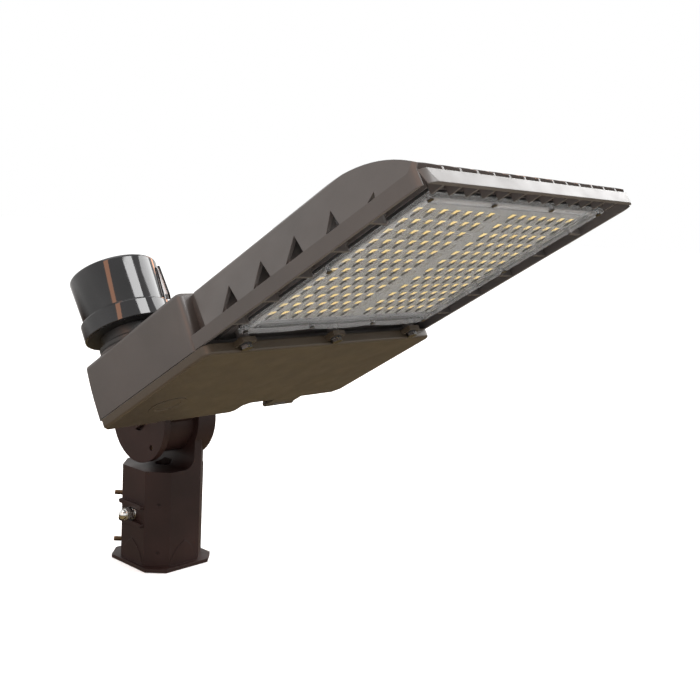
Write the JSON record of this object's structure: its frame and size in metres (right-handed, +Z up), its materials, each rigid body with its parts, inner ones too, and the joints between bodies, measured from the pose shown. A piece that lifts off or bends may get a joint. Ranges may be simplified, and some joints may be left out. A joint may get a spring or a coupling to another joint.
{
  "type": "shoebox area light",
  "caption": "Flat finned area light with a clear lens over an LED array, a hinged driver door, a twist-lock photocell, and a tilting knuckle on an octagonal slip fitter.",
  "frame": {"origin": "centre of the tenon bore's mouth, on the underside of the slip fitter", "axes": "+Z up along the pole; the head's nose points to -Y, tilted up; +X is the side of the fitter's clamping ear"},
  "size_m": [0.3137, 0.5355, 0.4457],
  "materials": {
    "bronze_paint": "satin dark bronze powder coat",
    "bright_zinc": "bright zinc plated",
    "dark_zinc": "yellow-brown passivated",
    "seal_rubber": "matt",
    "board_white": "satin",
    "led_yellow": "satin",
    "lens_clear": "clear, moulded cells",
    "driver_can": "satin",
    "black_plastic": "matt",
    "terminal_plastic": "satin",
    "contact_brass": "satin",
    "board_green": "satin",
    "cap_black": "gloss",
    "window_clear": "frosted"
  },
  "bodies": {
    "fitter": {"slip_fitter": "bronze_paint", "tenon_set_screws": "dark_zinc", "tenon_lock_stud": "bright_zinc", "flat_washer": "bright_zinc", "lock_washer": "bright_zinc", "domed_nut": "bright_zinc", "pivot_bolt": "bright_zinc", "pivot_head_washer": "bright_zinc", "pivot_nut_washer": "bright_zinc", "pivot_nut": "bright_zinc"},
    "head": {"knuckle_arm": "bronze_paint", "arm_flange_seal": "seal_rubber", "arm_bolts": "bright_zinc", "angle_lock_screw": "dark_zinc", "housing": "bronze_paint", "led_board": "board_white", "leds": "led_yellow", "lens_gasket": "seal_rubber", "lens_panel": "lens_clear", "lens_screws": "bright_zinc", "led_driver": "driver_can", "driver_screws": "bright_zinc", "surge_protector": "black_plastic", "terminal_block": "terminal_plastic", "cable_grommet": "seal_rubber", "hinge_pins": "bright_zinc", "receptacle_seal": "seal_rubber"},
    "door": {"driver_door": "bronze_paint", "door_gasket": "seal_rubber", "door_screws": "bright_zinc", "door_washers": "seal_rubber", "sensor_port_plug": "black_plastic", "sensor_plug_nut": "black_plastic"},
    "receptacle": {"photocell_receptacle": "black_plastic", "receptacle_contacts": "contact_brass"},
    "photocell": {"photocell_base": "black_plastic", "photocell_blades": "contact_brass", "photocell_board": "board_green", "photocell_cap": "cap_black", "photocell_window": "window_clear", "window_shade": "cap_black"}
  },
  "joints": [
    {"name": "tilt", "type": "hinge", "parent": "fitter", "child": "head", "pos_m": [0, 0.0015, 0.1685], "axis": [-1, 0, 0], "range_deg": [-31.2, 58.8]},
    {"name": "door_swing", "type": "hinge", "parent": "head", "child": "door", "pos_m": [0, -0.10306, 0.19371], "axis": [1, 0, 0], "range_deg": [0, 90]},
    {"name": "receptacle_turn", "type": "hinge", "parent": "head", "child": "receptacle", "pos_m": [-0.1155, -0.12039, 0.24232], "axis": [0, 0.518, 0.8554], "range_deg": [-170, 170]},
    {"name": "photocell_twist", "type": "hinge", "parent": "receptacle", "child": "photocell", "pos_m": [-0.1155, -0.12039, 0.24232], "axis": [0, 0.518, 0.8554], "range_deg": [0, 15]}
  ]
}
